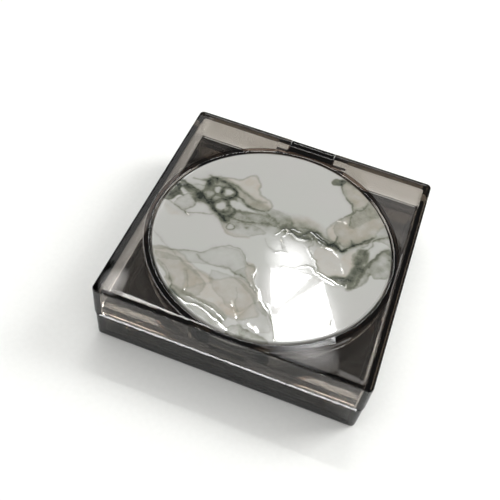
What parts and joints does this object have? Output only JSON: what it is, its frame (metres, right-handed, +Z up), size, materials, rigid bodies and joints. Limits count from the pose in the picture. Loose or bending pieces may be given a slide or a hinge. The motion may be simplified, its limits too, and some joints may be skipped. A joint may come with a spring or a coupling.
{
  "type": "compact case",
  "caption": "Square hinged compact case in clear smoke plastic, a round marbled disc in its lid, with a mirror, an inner lid, a puff and a wet sponge refill inside.",
  "frame": {"origin": "centre of the underside of the closed case", "axes": "+Z up through the lid, -Y towards the latch side, +Y towards the hinge, +X to the right seen from the latch side"},
  "size_m": [0.078, 0.078, 0.0216],
  "materials": {
    "smoke_plastic": "clear smoke-grey moulded plastic, polished",
    "marbled_resin": "glossy marbled cast resin with raised veins",
    "clear_film": "double-sided adhesive film",
    "mirror": "silvered glass",
    "steel": "drawn steel wire",
    "refill_plastic": "smooth moulded charcoal plastic",
    "sponge": "fine open-cell sponge, wet",
    "membrane": "thin woven membrane",
    "seal_rubber": "soft translucent seal",
    "puff_foam": "soft closed-cell foam",
    "puff_cloth": "fine knitted cloth",
    "ribbon": "satin ribbon"
  },
  "bodies": {
    "base": {"base_shell": "smoke_plastic", "hinge_pin": "steel", "inner_frame": "smoke_plastic", "inner_lid_pin": "steel", "refill_cup": "refill_plastic", "sponge": "sponge", "membrane": "membrane", "membrane_ring": "refill_plastic"},
    "lid": {"lid_shell": "smoke_plastic", "hinge_block": "smoke_plastic", "marble_disc": "marbled_resin", "disc_tape": "clear_film", "mirror": "mirror", "mirror_tape": "clear_film"},
    "inner_lid": {"inner_lid": "refill_plastic", "inner_lid_seal": "seal_rubber", "puff_foam": "puff_foam", "puff_backing": "puff_cloth", "puff_ribbon": "ribbon"}
  },
  "joints": [
    {"name": "lid_hinge", "type": "hinge", "parent": "base", "child": "lid", "pos_m": [0, 0.03685, 0.0134], "axis": [-1, 0, 0], "range_deg": [0, 112]},
    {"name": "inner_lid_hinge", "type": "hinge", "parent": "base", "child": "inner_lid", "pos_m": [0, 0.0312, 0.0123], "axis": [-1, 0, 0], "range_deg": [0, 96]}
  ],
  "couplings": [
    {"joint": "inner_lid_hinge", "follows": "lid_hinge", "ratio": 0.85}
  ]
}
